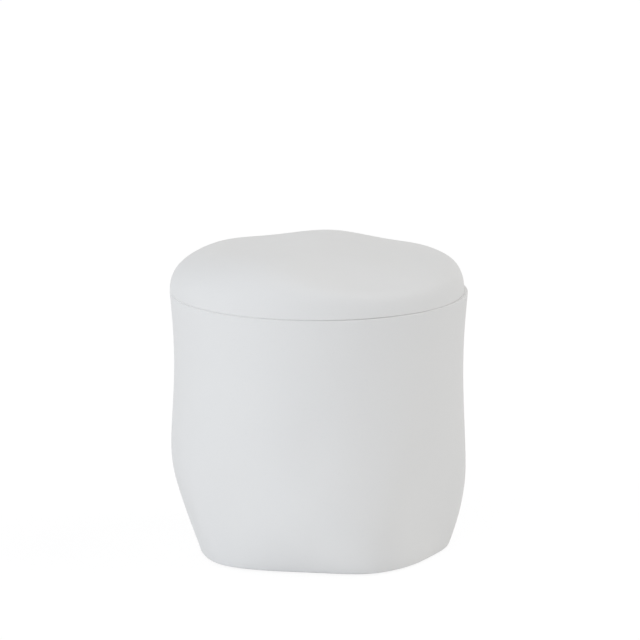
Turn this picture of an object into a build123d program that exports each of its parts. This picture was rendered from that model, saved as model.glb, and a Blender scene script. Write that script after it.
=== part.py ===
from build123d import *
from math import cos, exp, pi, radians, sin, tan
from typing import NamedTuple
import os

# A round cotton pad box cast in white resin: a pot hewn with soft flats, and a domed lid that lifts off.
# Sizes in millimetres, angles in degrees. The origin is on the surface it stands on, below its centre.
# Azimuths turn from +X towards +Y, and the front of the box faces -Y.

# Pot, outside
pot_h = 87.4
rim_r = 50.0
knee_in = 0.2
knee_h = 26.3
base_in = 5.65
waist_in = 1.25
waist_low = 1.76
waist_high = 1.23
flat_soft = 6.0
swell_fade = 6.0
base_round = 1.5
rim_chamfer = 0.3

# Pot, inside
rim_land = 10.0
bore_h = 14.0
floor_in = 7.0
floor_t = 7.0
floor_round = 1.0
mouth_round = 0.8

# Lid, outside
lid_h = 19.5
lid_inset = 0.05
side_inset = 1.25
side_azimuth = 5.0
side_spread = 40.0
dome_full = 2.48
dome_swing = 0.725
dome_azimuth = 97.0
peak_x = 4.2
peak_y = 14.5
peak_rise = 2.58
peak_spread = 16.35
lid_fade = 0.06
lid_chamfer = 0.25

# Lid, underneath
plug_clear = 1.2
plug_h = 9.0
plug_wall = 6.0
plug_round = 0.8
recess_rise = 1.0
recess_round = 2.0

# Seal ring in the plug's groove
seal_h = 3.0
seal_clear = 0.3
seal_drop = 3.0
seal_slack = 0.1
seal_round = 0.6
groove_depth = 2.0

# Feet
foot_r = 5.0
foot_proud = 0.6
foot_sink = 1.0
foot_slack = 0.1
foot_in = 17.35
foot_azimuth = 45.0
foot_round = 0.3
foot_names = ["foot_back_right", "foot_back_left", "foot_front_left", "foot_front_right"]

# How finely the hewn shapes are drawn
around = 48
base_rows = 4
pot_rows = 16
lid_rows = 14


class PotFlat(NamedTuple):
    """A soft flat on the pot's side: where it faces, and how deep it cuts at a height above the underside."""

    azimuth: float
    height: float
    depth: float
    lean: float


class LidFlat(NamedTuple):
    """A soft flat on the lid: where it falls to, how far by the edge, and how far above the dome it starts.

    The fall and the start, which is on the axis, are shares of the lid's height.
    """

    azimuth: float
    fall: float
    above: float
    soft: float


class PotSwell(NamedTuple):
    """A soft swelling of the pot's side, or a hollow if its rise is negative: middle, breadth and rise."""

    azimuth: float
    height: float
    turn: float
    span: float
    rise: float


class LidSwell(NamedTuple):
    """A soft swelling of the lid: its middle, breadth and rise."""

    x: float
    y: float
    wide: float
    deep: float
    rise: float


pot_flats = [
    PotFlat(azimuth=-169, height=0, depth=3.9, lean=19.3),
    PotFlat(azimuth=-100, height=0, depth=4.8, lean=24.4),
    PotFlat(azimuth=-119, height=20, depth=3.0, lean=7.4),
    PotFlat(azimuth=-36, height=40, depth=2.1, lean=6.5),
    PotFlat(azimuth=55, height=0, depth=2.6, lean=16),
    PotFlat(azimuth=120, height=22, depth=2.4, lean=8),
    PotFlat(azimuth=85, height=45, depth=1.8, lean=7),
]
pot_swells = [
    PotSwell(azimuth=-94, height=40.7, turn=10.5, span=14.4, rise=-0.83),
    PotSwell(azimuth=-65, height=16.8, turn=21.4, span=14.4, rise=0.78),
    PotSwell(azimuth=-161, height=39.4, turn=22.9, span=16.7, rise=0.71),
    PotSwell(azimuth=-24, height=24.2, turn=20, span=17.9, rise=-0.18),
]
lid_flats = [
    LidFlat(azimuth=176.5, fall=0.22, above=-0.042, soft=2.5),
    LidFlat(azimuth=7.5, fall=0.432, above=-0.066, soft=2.5),
    LidFlat(azimuth=85.5, fall=0.66, above=-0.025, soft=4),
    LidFlat(azimuth=-106, fall=0.422, above=0.165, soft=3),
    LidFlat(azimuth=-57.5, fall=1.034, above=0.388, soft=8),
]
lid_swells = [
    LidSwell(x=-13.1, y=-36.9, wide=13.8, deep=10, rise=0.54),
    LidSwell(x=19.2, y=-30, wide=12.3, deep=10.2, rise=0.72),
    LidSwell(x=30, y=-2.3, wide=11.3, deep=14.9, rise=0.47),
]

# Levels and fits
knee_r = rim_r - knee_in
base_r = rim_r - base_in
rim_z = foot_proud + pot_h
floor_z = foot_proud + floor_t
mouth_r = rim_r - rim_land
floor_r = mouth_r - floor_in
plug_r = mouth_r - plug_clear
groove_r = plug_r - groove_depth
recess_r = plug_r - plug_wall
seal_z = rim_z - seal_drop - seal_h
foot_ring_r = base_r - foot_in
azimuths = [360 * step / around for step in range(around)]


def blend(a, b, soft):
    """The smaller of two values, passing softly from one to the other where they are close."""
    near = max(soft - abs(a - b), 0) / soft
    return min(a, b) - near**3 * soft / 6


def ease(share):
    """A share from 0 to 1, eased in and out."""
    share = min(max(share, 0), 1)
    return share * share * (3 - 2 * share)


def hill(across, along):
    """Share of a soft hill's rise, at distances from its middle in shares of its breadth."""
    return exp(-(across**2) - along**2)


def turn_from(azimuth, middle):
    """Turn from a middle azimuth, between -180 and 180."""
    return (azimuth - middle + 180) % 360 - 180


def polar(r, azimuth):
    """Point at a radius and an azimuth."""
    return r * cos(radians(azimuth)), r * sin(radians(azimuth))


def round_r(h):
    """Radius of the pot before it is hewn, at a height above its underside."""
    if h <= knee_h:
        return knee_r - (knee_r - base_r) * (1 - h / knee_h) ** 2
    up = (h - knee_h) / (pot_h - knee_h)
    middle = waist_low / (waist_low + waist_high)
    waist = (up / middle) ** waist_low * ((1 - up) / (1 - middle)) ** waist_high
    return knee_r + (rim_r - knee_r) * up - waist_in * waist


def pot_point(azimuth, h, inset):
    """Point of the hewn side, in the plane of its height, drawn in by an inset."""
    r = round_r(h)
    for flat in pot_flats:
        facing = cos(radians(azimuth - flat.azimuth))
        if facing > 0:
            reach = round_r(flat.height) - flat.depth + (h - flat.height) * tan(radians(flat.lean))
            r = blend(r, reach / facing, flat_soft)
    for swell in pot_swells:
        across = turn_from(azimuth, swell.azimuth) / swell.turn
        along = (h - swell.height) / swell.span
        r += ease((pot_h - h) / swell_fade) * swell.rise * hill(across, along)
    return polar(r - inset, azimuth)


def edge_r(azimuth):
    """Radius of the lid's edge."""
    return rim_r - lid_inset - side_inset * hill(turn_from(azimuth, side_azimuth) / side_spread, 0)


def lid_point(azimuth, out):
    """Point of the lid's top, at a share of the way from the axis out to its edge."""
    r = out * edge_r(azimuth)
    x, y = polar(r, azimuth)
    full = dome_full - dome_swing * cos(radians(azimuth - dome_azimuth))
    h = lid_h * (1 - out**full) ** (1 / full)
    if out < 1:
        for flat in lid_flats:
            along = x * cos(radians(flat.azimuth)) + y * sin(radians(flat.azimuth))
            h = blend(h, lid_h * (1 + flat.above - flat.fall * along / rim_r), flat.soft)
        h += peak_rise * hill((x - peak_x) / peak_spread, (y - peak_y) / peak_spread)
        for swell in lid_swells:
            across = (x - swell.x) / swell.wide
            along = (y - swell.y) / swell.deep
            h += ease((1 - out) / lid_fade) * swell.rise * hill(across, along)
    return x, y, rim_z + h


os.makedirs("parts", exist_ok=True)

# Heights and insets of the pot's outlines: the rounding under its edge, its side, then the chamfer of its rim
quarter = [pi / 2 * row / base_rows for row in range(base_rows + 1)]
base_levels = [(base_round * (1 - cos(turn)), base_round * (1 - sin(turn))) for turn in quarter]
side_h = pot_h - base_round - rim_chamfer
side_levels = [(base_round + side_h * row / pot_rows, 0) for row in range(pot_rows + 1)]
rim_levels = [(pot_h - rim_chamfer, 0), (pot_h, rim_chamfer)]

with BuildPart() as pot:
    for levels in [base_levels, side_levels, rim_levels]:
        for height, inset in levels:
            with BuildSketch(Plane.XY.offset(foot_proud + height)):
                with BuildLine():
                    Spline([pot_point(azimuth, height, inset) for azimuth in azimuths], periodic=True)
                make_face()
        loft()
    with BuildSketch(Plane.XZ):
        with BuildLine():
            Polyline(
                (0, floor_z),
                (floor_r, floor_z),
                (mouth_r, rim_z - bore_h),
                (mouth_r, rim_z),
                (0, rim_z),
                close=True,
            )
        floor_corner = make_face().vertices().filter_by_position(Axis.X, floor_r, floor_r)
        fillet(floor_corner, floor_round)
    revolve(axis=Axis.Z, mode=Mode.SUBTRACT)
    fillet(pot.edges().filter_by(GeomType.CIRCLE).sort_by(Axis.Z)[-1], mouth_round)
    with BuildSketch(Plane.XY.offset(foot_proud)):
        with PolarLocations(foot_ring_r, len(foot_names), start_angle=foot_azimuth):
            Circle(foot_r + foot_slack)
    extrude(amount=foot_sink, mode=Mode.SUBTRACT)
pot.part.label = "pot"
export_step(pot.part, "parts/pot.step")

# The lid's top is drawn on rings that narrow to its peak. They aren't flat, so the loft takes them as wires.
outs = [cos(pi / 2 * row / lid_rows) for row in range(lid_rows)]
rings = [[lid_point(azimuth, out) for azimuth in azimuths] for out in outs]
ring_wires = [Wire([Edge.make_spline([Vector(*point) for point in ring], periodic=True)]) for ring in rings]
dome = Solid.make_loft([*ring_wires, Vertex(*lid_point(0, 0))])

# The chamfer under the lid's edge is what lies outside a cone that opens upwards
with BuildPart() as lid:
    add(dome)
    for rise in [0, rim_r]:
        with BuildSketch(Plane.XY.offset(rim_z + rise)):
            with BuildLine():
                outline = [polar(edge_r(azimuth) - lid_chamfer + rise, azimuth) for azimuth in azimuths]
                Spline(outline, periodic=True)
            make_face()
    loft(mode=Mode.INTERSECT)
    with BuildSketch(Plane.XY.offset(rim_z)):
        Circle(plug_r)
    extrude(amount=-plug_h)
    with BuildSketch(Plane.XY.offset(rim_z - plug_h)):
        Circle(recess_r)
    extrude(amount=plug_h + recess_rise, mode=Mode.SUBTRACT)
    fillet(lid.edges().filter_by(GeomType.CIRCLE).group_by(Axis.Z)[-1], recess_round)
    fillet(lid.edges().filter_by(GeomType.CIRCLE).group_by(Axis.Z)[0], plug_round)
    with BuildSketch(Plane.XY.offset(seal_z)):
        Circle(plug_r)
        Circle(groove_r, mode=Mode.SUBTRACT)
    extrude(amount=seal_h + seal_slack, mode=Mode.SUBTRACT)
lid.part.label = "lid"
export_step(lid.part, "parts/lid.step")

with BuildPart() as lid_seal_ring:
    with BuildSketch(Plane.XY.offset(seal_z)):
        Circle(mouth_r - seal_clear)
        Circle(groove_r + seal_slack, mode=Mode.SUBTRACT)
    extrude(amount=seal_h)
    outer_edges = lid_seal_ring.edges().filter_by(GeomType.CIRCLE).sort_by(SortBy.RADIUS)[-2:]
    fillet(outer_edges, seal_round)
lid_seal_ring.part.label = "lid_seal_ring"
export_step(lid_seal_ring.part, "parts/lid_seal_ring.step")

foot_places = PolarLocations(foot_ring_r, len(foot_names), start_angle=foot_azimuth)
for place, foot_name in zip(foot_places, foot_names):
    with BuildPart() as foot:
        with BuildSketch():
            with Locations(place):
                Circle(foot_r)
        extrude(amount=foot_proud + foot_sink)
        fillet(foot.faces().sort_by(Axis.Z)[0].edges(), foot_round)
    foot.part.label = foot_name
    export_step(foot.part, f"parts/{foot_name}.step")
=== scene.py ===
from math import atan, cos, degrees, exp, pi, radians, sin, tan

import bmesh
import bpy
from mathutils import Matrix, Vector


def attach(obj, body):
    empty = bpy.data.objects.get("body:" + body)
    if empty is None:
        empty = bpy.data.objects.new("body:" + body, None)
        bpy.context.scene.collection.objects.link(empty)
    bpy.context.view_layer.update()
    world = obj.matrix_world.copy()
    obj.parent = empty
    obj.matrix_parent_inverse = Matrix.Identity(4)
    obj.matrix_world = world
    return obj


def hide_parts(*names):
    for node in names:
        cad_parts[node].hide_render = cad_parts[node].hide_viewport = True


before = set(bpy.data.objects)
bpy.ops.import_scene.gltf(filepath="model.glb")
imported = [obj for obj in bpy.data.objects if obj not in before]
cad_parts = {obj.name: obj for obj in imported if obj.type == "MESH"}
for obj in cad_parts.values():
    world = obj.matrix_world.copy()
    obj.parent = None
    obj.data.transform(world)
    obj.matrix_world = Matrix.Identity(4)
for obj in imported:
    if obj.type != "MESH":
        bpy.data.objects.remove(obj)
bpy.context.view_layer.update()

MM = 0.001
scene = bpy.context.scene

# Form of the pot and the lid, in millimetres and degrees. It is that of the solids, except for
# a smaller base_round, the base_swells, and an uneven chamfer and a hairline gap at the lid's edge.
pot_h = 87.4
rim_r = 50.0
knee_in = 0.2
knee_h = 26.3
base_in = 5.65
waist_in = 1.25
waist_low = 1.76
waist_high = 1.23
flat_soft = 6.0
swell_fade = 6.0
base_round = 0.6
rim_chamfer = 0.3
rim_land = 10.0
bore_h = 14.0
floor_in = 7.0
floor_t = 7.0
floor_round = 1.0
mouth_round = 0.8
lid_h = 19.5
lid_inset = 0.05
side_inset = 1.25
side_azimuth = 5.0
side_spread = 40.0
dome_full = 2.48
dome_swing = 0.725
dome_azimuth = 97.0
peak_x = 4.2
peak_y = 14.5
peak_rise = 2.58
peak_spread = 16.35
lid_fade = 0.06
lid_chamfer = 0.25
chamfer_loss = 0.22
chamfer_azimuth = -5.0
chamfer_spread = 35.0
gap_least = 0.015
gap_more = 0.06
gap_azimuth = -70.0
gap_spread = 24.0
gap_end = 0.5
seat_r = 46.0
plug_clear = 1.2
plug_h = 9.0
plug_wall = 6.0
plug_round = 0.8
recess_rise = 1.0
recess_round = 2.0
seal_h = 3.0
seal_drop = 3.0
seal_slack = 0.1
groove_depth = 2.0
foot_count = 4
foot_r = 5.0
foot_proud = 0.6
foot_sink = 1.0
foot_slack = 0.1
foot_in = 17.35
foot_azimuth = 45.0

# azimuth, height, depth, lean
pot_flats = [
    (-169, 0, 3.9, 19.3),
    (-100, 0, 4.8, 24.4),
    (-119, 20, 3.0, 7.4),
    (-36, 40, 2.1, 6.5),
    (55, 0, 2.6, 16),
    (120, 22, 2.4, 8),
    (85, 45, 1.8, 7),
]
# azimuth, height, turn, span, rise
pot_swells = [
    (-94, 40.7, 10.5, 14.4, -0.83),
    (-65, 16.8, 21.4, 14.4, 0.78),
    (-161, 39.4, 22.9, 16.7, 0.71),
    (-24, 24.2, 20, 17.9, -0.18),
]
# the base's fuller corners, its front edge and its lower right side, too slight for the solids
base_swells = [
    (-157, 0, 14, 7, 1.0),
    (-42, 0, 14, 6, 0.9),
    (-80, 0, 22, 5, -0.5),
    (-22, 9, 18, 12, -0.6),
]
# azimuth, fall, above, soft
lid_flats = [
    (176.5, 0.22, -0.042, 2.5),
    (7.5, 0.432, -0.066, 2.5),
    (85.5, 0.66, -0.025, 4),
    (-106, 0.422, 0.165, 3),
    (-57.5, 1.034, 0.388, 8),
]
# x, y, wide, deep, rise
lid_swells = [
    (-13.1, -36.9, 13.8, 10, 0.54),
    (19.2, -30, 12.3, 10.2, 0.72),
    (30, -2.3, 11.3, 14.9, 0.47),
]

knee_r = rim_r - knee_in
base_r = rim_r - base_in
rim_z = foot_proud + pot_h
floor_z = foot_proud + floor_t
mouth_r = rim_r - rim_land
floor_r = mouth_r - floor_in
plug_r = mouth_r - plug_clear
plug_z = rim_z - plug_h
groove_r = plug_r - groove_depth
recess_r = plug_r - plug_wall
recess_z = rim_z + recess_rise
seal_z = rim_z - seal_drop - seal_h
groove_z = seal_z + seal_h + seal_slack
foot_ring_r = base_r - foot_in

# Fineness of the meshes: points of a ring, rows of each stretch, and radii of the rings on flats
AROUND = 320
SIDE_ROWS = 110
DOME_ROWS = 72
ROUND_ROWS = 8
WALL_ROWS = 24
STRAIGHT_ROWS = 6
SEAT_SIDES = 64
SHARP_ANGLE = 32
UNDER_RINGS = (10, 20, 30, 36)
LAND_RINGS = (47, 45, 43)
FLOOR_RINGS = (28, 20, 10)
RECESS_RINGS = (26, 18, 9)


def blend(a, b, soft):
    """The lesser of two values, with a soft crease where they meet."""
    near = max(soft - abs(a - b), 0) / soft
    return min(a, b) - near**3 * soft / 6


def ease(share):
    """Smooth step from 0 to 1."""
    share = min(max(share, 0), 1)
    return share * share * (3 - 2 * share)


def hill(across, along=0):
    """Smooth hill that is 1 at its middle."""
    return exp(-(across**2) - along**2)


def turn_from(azimuth, middle):
    """Angle between two azimuths, from -180 to 180."""
    return (azimuth - middle + 180) % 360 - 180


def polar(r, azimuth):
    """x and y of a point at a radius and an azimuth."""
    return r * cos(radians(azimuth)), r * sin(radians(azimuth))


def round_r(h):
    """Radius of the pot's round form, before the flats."""
    if h <= knee_h:
        return knee_r - (knee_r - base_r) * (1 - h / knee_h) ** 2
    up = (h - knee_h) / (pot_h - knee_h)
    middle = waist_low / (waist_low + waist_high)
    waist = (up / middle) ** waist_low * ((1 - up) / (1 - middle)) ** waist_high
    return knee_r + (rim_r - knee_r) * up - waist_in * waist


def pot_r(azimuth, h):
    """Radius of the pot's hewn outside."""
    r = round_r(h)
    for flat_azimuth, height, depth, lean in pot_flats:
        facing = cos(radians(azimuth - flat_azimuth))
        if facing > 0:
            reach = round_r(height) - depth + (h - height) * tan(radians(lean))
            r = blend(r, reach / facing, flat_soft)
    for swell_azimuth, height, turn, span, rise in pot_swells + base_swells:
        across = turn_from(azimuth, swell_azimuth) / turn
        r += ease((pot_h - h) / swell_fade) * rise * hill(across, (h - height) / span)
    return r


def edge_r(azimuth):
    """Radius of the lid's edge, which stands back from the rim on one side."""
    return rim_r - lid_inset - side_inset * hill(turn_from(azimuth, side_azimuth) / side_spread)


def edge_chamfer(azimuth):
    """Chamfer under the lid's edge, smaller where the lid stands back from the rim."""
    return lid_chamfer - chamfer_loss * hill(turn_from(azimuth, chamfer_azimuth) / chamfer_spread)


def gap(azimuth):
    """Height of the hairline gap at the lid's edge, where the two castings don't quite meet."""
    return gap_least + gap_more * hill(turn_from(azimuth, gap_azimuth) / gap_spread)


def lid_point(azimuth, out):
    """Point of the dome, at a share of the way out to the lid's edge."""
    x, y = polar(out * edge_r(azimuth), azimuth)
    full = dome_full - dome_swing * cos(radians(azimuth - dome_azimuth))
    h = lid_h * (1 - out**full) ** (1 / full)
    if out < 1:
        for flat_azimuth, fall, above, soft in lid_flats:
            along = x * cos(radians(flat_azimuth)) + y * sin(radians(flat_azimuth))
            h = blend(h, lid_h * (1 + above - fall * along / rim_r), soft)
        h += peak_rise * hill((x - peak_x) / peak_spread, (y - peak_y) / peak_spread)
        for swell_x, swell_y, wide, deep, rise in lid_swells:
            swell = rise * hill((x - swell_x) / wide, (y - swell_y) / deep)
            h += ease((1 - out) / lid_fade) * swell
    return x, y, rim_z + max(h, edge_chamfer(azimuth))


def ring(point_at):
    """Points of one ring around the axis."""
    return [point_at(360 * step / AROUND) for step in range(AROUND)]


def circle(r, z):
    """A round ring at a height."""
    return ring(lambda azimuth: (*polar(r, azimuth), z))


def pot_ring(h, inset=0.0):
    """A ring of the pot's hewn outside."""
    return ring(lambda azimuth: (*polar(pot_r(azimuth, h) - inset, azimuth), foot_proud + h))


def dome_ring(out):
    """A ring of the lid's dome."""
    return ring(lambda azimuth: lid_point(azimuth, out))


def gap_ring(r_at):
    """A ring of the lid's underside at the hairline gap."""
    return ring(lambda azimuth: (*polar(r_at(azimuth), azimuth), rim_z + gap(azimuth)))


def spread(rows, count):
    """Straight rows between circles given as (radius, height)."""
    made = []
    for (r0, z0), (r1, z1) in zip(rows, rows[1:]):
        for i in range(count):
            made.append(circle(r0 + (r1 - r0) * i / count, z0 + (z1 - z0) * i / count))
    return made + [circle(*rows[-1])]


def turned(centre_r, centre_z, size, start, end):
    """Rows of a rounding, from one angle of its arc to another."""
    rows = []
    for i in range(ROUND_ROWS + 1):
        turn = radians(start + (end - start) * i / ROUND_ROWS)
        rows.append(circle(centre_r + size * cos(turn), centre_z + size * sin(turn)))
    return rows


def face_out(mesh):
    """Turns all faces outwards and smooths the mesh between its sharp edges."""
    work = bmesh.new()
    work.from_mesh(mesh)
    bmesh.ops.recalc_face_normals(work, faces=work.faces)
    work.to_mesh(mesh)
    work.free()
    mesh.shade_smooth()
    mesh.set_sharp_from_angle(angle=radians(SHARP_ANGLE))


def shell(name, first, rows, last):
    """A closed smooth mesh from rings and its two end points."""
    points = [first, *(point for row in rows for point in row), last]
    end = len(points) - 1
    faces = []
    for i in range(AROUND):
        k = (i + 1) % AROUND
        faces.append((0, 1 + k, 1 + i))
        for row in range(len(rows) - 1):
            low = 1 + row * AROUND
            high = low + AROUND
            faces.append((low + i, low + k, high + k, high + i))
        faces.append((end - AROUND + i, end - AROUND + k, end))
    mesh = bpy.data.meshes.new(name)
    mesh.from_pydata([Vector(point) * MM for point in points], [], faces)
    face_out(mesh)
    piece = bpy.data.objects.new(name, mesh)
    scene.collection.objects.link(piece)
    return piece


def cut_seats(piece):
    """Cuts the round seats of the feet into the pot's underside."""
    work = bmesh.new()
    r = (foot_r + foot_slack) * MM
    size = dict(segments=SEAT_SIDES, radius1=r, radius2=r, depth=2 * foot_sink * MM)
    for i in range(foot_count):
        x, y = polar(foot_ring_r, foot_azimuth + 360 * i / foot_count)
        place = Matrix.Translation(Vector((x, y, foot_proud)) * MM)
        bmesh.ops.create_cone(work, cap_ends=True, matrix=place, **size)
    tool_mesh = bpy.data.meshes.new("seat_tool")
    work.to_mesh(tool_mesh)
    work.free()
    tool = bpy.data.objects.new("seat_tool", tool_mesh)
    scene.collection.objects.link(tool)
    cut = piece.modifiers.new("seats", "BOOLEAN")
    cut.object = tool
    cut.operation = "DIFFERENCE"
    cut.solver = "EXACT"
    ready = piece.evaluated_get(bpy.context.evaluated_depsgraph_get())
    mesh = bpy.data.meshes.new_from_object(ready)
    piece.modifiers.clear()
    piece.data = mesh
    bpy.data.objects.remove(tool)
    face_out(mesh)
    mesh.name = piece.name


# Pot: underside, outside, rim, mouth, tapered hollow with a rounded corner, and floor
side_h = pot_h - base_round - rim_chamfer
taper = (mouth_r - floor_r) / (rim_z - bore_h - floor_z)
lean = atan(taper)
corner = floor_round * tan((pi / 2 - lean) / 2)
wall_low = (floor_r + taper * corner * cos(lean), floor_z + corner * cos(lean))
pot_rows = [circle(r, foot_proud) for r in UNDER_RINGS]
for i in range(ROUND_ROWS + 1):
    turn = pi / 2 * i / ROUND_ROWS
    pot_rows.append(pot_ring(base_round * (1 - cos(turn)), base_round * (1 - sin(turn))))
pot_rows += [pot_ring(base_round + side_h * (i + 1) / SIDE_ROWS) for i in range(SIDE_ROWS)]
pot_rows += [pot_ring(pot_h, rim_chamfer)]
pot_rows += [circle(r, rim_z) for r in LAND_RINGS]
pot_rows += turned(mouth_r + mouth_round, rim_z - mouth_round, mouth_round, 90, 180)
bore = [(mouth_r, rim_z - mouth_round), (mouth_r, rim_z - bore_h)]
pot_rows += spread(bore, STRAIGHT_ROWS)[1:]
pot_rows += spread([bore[-1], wall_low], WALL_ROWS)[1:]
pot_rows += turned(floor_r - corner, floor_z + floor_round, floor_round, -degrees(lean), -90)[1:]
pot_rows += [circle(r, floor_z) for r in FLOOR_RINGS]
pot = shell("pot_cast", (0, 0, foot_proud), pot_rows, (0, 0, floor_z))
cut_seats(pot)

# Lid: dome, edge with its gap, seat on the rim, plug with its groove, and recess above the pads
lid_rows = [dome_ring(sin(pi / 2 * (i + 1) / DOME_ROWS)) for i in range(DOME_ROWS)]
lid_rows += [gap_ring(lambda azimuth: edge_r(azimuth) - edge_chamfer(azimuth))]
lid_rows += [gap_ring(lambda azimuth: seat_r + gap_end)]
plug = [
    (seat_r, rim_z),
    (plug_r, rim_z),
    (plug_r, groove_z),
    (groove_r, groove_z),
    (groove_r, seal_z),
    (plug_r, seal_z),
    (plug_r, plug_z + plug_round),
]
lid_rows += spread(plug, STRAIGHT_ROWS)
lid_rows += turned(plug_r - plug_round, plug_z + plug_round, plug_round, 0, -90)[1:]
lid_rows += turned(recess_r + plug_round, plug_z + plug_round, plug_round, -90, -180)
recess = [(recess_r, plug_z + plug_round), (recess_r, recess_z - recess_round)]
lid_rows += spread(recess, STRAIGHT_ROWS)[1:]
lid_rows += turned(recess_r - recess_round, recess_z - recess_round, recess_round, 0, 90)[1:]
lid_rows += [circle(r, recess_z) for r in RECESS_RINGS]
lid = shell("lid_cast", lid_point(0, 0), lid_rows, (0, 0, recess_z))


def new_look(name):
    """A new material and its node tree."""
    material = bpy.data.materials.new(name)
    material.use_nodes = True
    return material, material.node_tree


def noise(tree, scale, detail, rough=0.5):
    """Noise that stays with the piece."""
    where = tree.nodes.new("ShaderNodeTexCoord")
    node = tree.nodes.new("ShaderNodeTexNoise")
    node.inputs["Scale"].default_value = scale
    node.inputs["Detail"].default_value = detail
    node.inputs["Roughness"].default_value = rough
    tree.links.new(where.outputs["Object"], node.inputs["Vector"])
    return node.outputs["Fac"]


def tones(tree, source, dark, light):
    """Colours from dark to light, each given as (level of the source, colour)."""
    node = tree.nodes.new("ShaderNodeValToRGB")
    for stop, (level, colour) in zip(node.color_ramp.elements, (dark, light)):
        stop.position = level
        stop.color = (*colour, 1)
    tree.links.new(source, node.inputs["Fac"])
    return node.outputs["Color"]


def values(tree, source, levels, span):
    """Values over a span, for a source between two levels."""
    node = tree.nodes.new("ShaderNodeMapRange")
    node.inputs["From Min"].default_value, node.inputs["From Max"].default_value = levels
    node.inputs["To Min"].default_value, node.inputs["To Max"].default_value = span
    tree.links.new(source, node.inputs["Value"])
    return node.outputs["Result"]


def roughen(tree, shader, bumps):
    """Fine unevenness in layers, each given as scale, detail, distance and strength."""
    normal = None
    for scale, detail, distance, strength in bumps:
        bump = tree.nodes.new("ShaderNodeBump")
        bump.inputs["Distance"].default_value = distance
        bump.inputs["Strength"].default_value = strength
        tree.links.new(noise(tree, scale, detail), bump.inputs["Height"])
        if normal is not None:
            tree.links.new(normal, bump.inputs["Normal"])
        normal = bump.outputs["Normal"]
    tree.links.new(normal, shader.inputs["Normal"])


def cast_resin(name):
    """Matte white resin, slightly clouded, with fine grains."""
    material, tree = new_look(name)
    shader = tree.nodes["Principled BSDF"]
    shader.inputs["IOR"].default_value = 1.48
    shader.inputs["Specular IOR Level"].default_value = 0.3
    cloud_dark, cloud_light = (0.3, (0.796, 0.797, 0.794)), (0.7, (0.804, 0.804, 0.799))
    grain_dark, grain_light = (0.3, (0.988, 0.988, 0.989)), (0.44, (1, 1, 1))
    mix = tree.nodes.new("ShaderNodeMix")
    mix.data_type = "RGBA"
    mix.blend_type = "MULTIPLY"
    mix.inputs["Factor"].default_value = 1
    cloud = tones(tree, noise(tree, 42, 3), cloud_dark, cloud_light)
    grains = tones(tree, noise(tree, 1500, 2, 0.6), grain_dark, grain_light)
    tree.links.new(cloud, mix.inputs["A"])
    tree.links.new(grains, mix.inputs["B"])
    tree.links.new(mix.outputs["Result"], shader.inputs["Base Color"])
    rough = values(tree, noise(tree, 160, 4, 0.6), (0.3, 0.7), (0.58, 0.68))
    tree.links.new(rough, shader.inputs["Roughness"])
    bumps = [(60, 2, 0.0002, 0.08), (900, 3, 0.00004, 0.14), (4200, 2, 0.00001, 0.2)]
    roughen(tree, shader, bumps)
    return material


def silicone(name, dark, light):
    """Soft grey silicone."""
    material, tree = new_look(name)
    shader = tree.nodes["Principled BSDF"]
    shader.inputs["IOR"].default_value = 1.41
    colour = tones(tree, noise(tree, 260, 4), (0.35, dark), (0.65, light))
    tree.links.new(colour, shader.inputs["Base Color"])
    rough = values(tree, noise(tree, 700, 3), (0, 1), (0.42, 0.6))
    tree.links.new(rough, shader.inputs["Roughness"])
    roughen(tree, shader, [(2600, 2, 0.00002, 0.3)])
    return material


pot.data.materials.append(cast_resin("pot_resin_look"))
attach(pot, "pot")
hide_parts("pot")
lid.data.materials.append(cast_resin("lid_resin_look"))
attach(lid, "lid")
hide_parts("lid")

seal_look = silicone("seal_silicone_look", (0.6, 0.61, 0.61), (0.65, 0.66, 0.66))
foot_look = silicone("foot_silicone_look", (0.52, 0.52, 0.52), (0.58, 0.58, 0.58))
for name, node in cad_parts.items():
    if name == "lid_seal_ring" or name.startswith("foot"):
        node.data.materials.clear()
        node.data.materials.append(seal_look if name == "lid_seal_ring" else foot_look)


def seen_directly(tree):
    """1 for camera, glossy and transmission rays."""
    path = tree.nodes.new("ShaderNodeLightPath")
    total = path.outputs["Is Camera Ray"]
    for other in ("Is Glossy Ray", "Is Transmission Ray"):
        most = tree.nodes.new("ShaderNodeMath")
        most.operation = "MAXIMUM"
        tree.links.new(total, most.inputs[0])
        tree.links.new(path.outputs[other], most.inputs[1])
        total = most.outputs["Value"]
    return total


def show(tree, output, lighting, seen):
    """Shows one shader to the rays that see a surface directly, and another to the rest."""
    either = tree.nodes.new("ShaderNodeMixShader")
    tree.links.new(seen_directly(tree), either.inputs["Fac"])
    tree.links.new(lighting, either.inputs[1])
    tree.links.new(seen, either.inputs[2])
    tree.links.new(either.outputs["Shader"], tree.nodes[output].inputs["Surface"])


def paper(tree, white):
    """A plain diffuse white."""
    node = tree.nodes.new("ShaderNodeBsdfDiffuse")
    node.inputs["Color"].default_value = (white, white, white, 1)
    return node.outputs["BSDF"]


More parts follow.
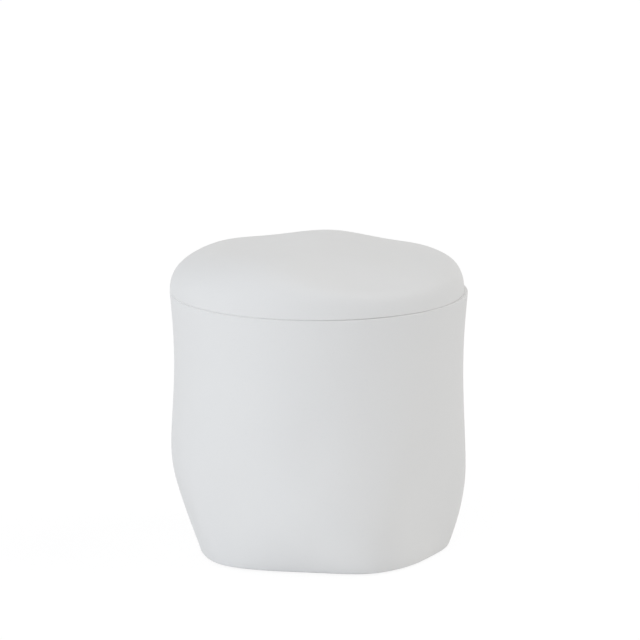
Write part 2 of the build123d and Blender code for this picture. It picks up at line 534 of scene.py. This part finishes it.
# Floor: a hair below the feet, white to the camera, with a faint shadow of the object
FLOOR_REACH = 3000.0
FLOOR_DROP = 0.02
FLOOR_WHITE = 0.95
FLOOR_GLOW = 0.9
FLOOR_SHADE = 0.14
floor_mesh = bpy.data.meshes.new("floor")
corners = [(-1, -1), (1, -1), (1, 1), (-1, 1)]
floor_points = [(x * FLOOR_REACH * MM, y * FLOOR_REACH * MM, 0) for x, y in corners]
floor_mesh.from_pydata(floor_points, [], [(0, 1, 2, 3)])
floor = bpy.data.objects.new("floor", floor_mesh)
floor.location.z = -FLOOR_DROP * MM
scene.collection.objects.link(floor)
floor_look, tree = new_look("floor_look")
tree.nodes.remove(tree.nodes["Principled BSDF"])
glow = tree.nodes.new("ShaderNodeEmission")
glow.inputs["Strength"].default_value = FLOOR_GLOW
soft_white = tree.nodes.new("ShaderNodeAddShader")
tree.links.new(paper(tree, FLOOR_SHADE), soft_white.inputs[0])
tree.links.new(glow.outputs["Emission"], soft_white.inputs[1])
show(tree, "Material Output", paper(tree, FLOOR_WHITE), soft_white.outputs["Shader"])
floor_mesh.materials.append(floor_look)

# Light: an even white room and broad soft lamps, the strongest at the front left
ROOM_LIGHT = 0.487
BACKDROP = 1.0
LAMP_SPREAD = 50
world = bpy.data.worlds.new("room")
scene.world = world
world.use_nodes = True
tree = world.node_tree
room = tree.nodes["Background"]
backdrop = tree.nodes.new("ShaderNodeBackground")
for ground, strength in ((room, ROOM_LIGHT), (backdrop, BACKDROP)):
    ground.inputs["Color"].default_value = (1, 1, 1, 1)
    ground.inputs["Strength"].default_value = strength
show(tree, "World Output", room.outputs["Background"], backdrop.outputs["Background"])


def soft_lamp(name, elevation, azimuth, strength):
    """A broad soft lamp far away, from a direction, with its strength in red, green and blue."""
    light = bpy.data.lights.new(name, "SUN")
    light.energy = max(strength)
    light.color = [part / light.energy for part in strength]
    light.angle = radians(LAMP_SPREAD)
    lamp = bpy.data.objects.new(name, light)
    scene.collection.objects.link(lamp)
    across = polar(cos(radians(elevation)), azimuth)
    towards = Vector((*across, sin(radians(elevation))))
    lamp.rotation_mode = "QUATERNION"
    lamp.rotation_quaternion = (-towards).to_track_quat("-Z", "Y")


soft_lamp("key_left", 10, -150, (0.77, 0.82, 0.88))
soft_lamp("key_front", 10, -120, (0.50, 0.52, 0.56))
soft_lamp("fill_right", 40, 0, (0.78, 0.765, 0.74))
soft_lamp("overhead", 75, 180, (0.25, 0.25, 0.25))

# Camera: above level by the angle that the ellipse of the seam shows, aimed a little below the rim
IMAGE = 640
PX_PER_MM = 2.98
FAR = 1200.0
SENSOR = 36.0
ELEVATION = radians(11.6)
AIM_PX = 30.4
SIDEWAYS = 0.4
focal_px = PX_PER_MM * FAR
camera = bpy.data.cameras.new("camera")
camera.sensor_width = SENSOR
camera.lens = SENSOR * focal_px / IMAGE
eye = bpy.data.objects.new("camera", camera)
scene.collection.objects.link(eye)
eye.location = Vector((SIDEWAYS, -cos(ELEVATION) * FAR, rim_z + sin(ELEVATION) * FAR)) * MM
eye.rotation_euler = (pi / 2 - ELEVATION - atan(AIM_PX / focal_px), 0, 0)
scene.camera = eye
scene.view_settings.view_transform = "Standard"
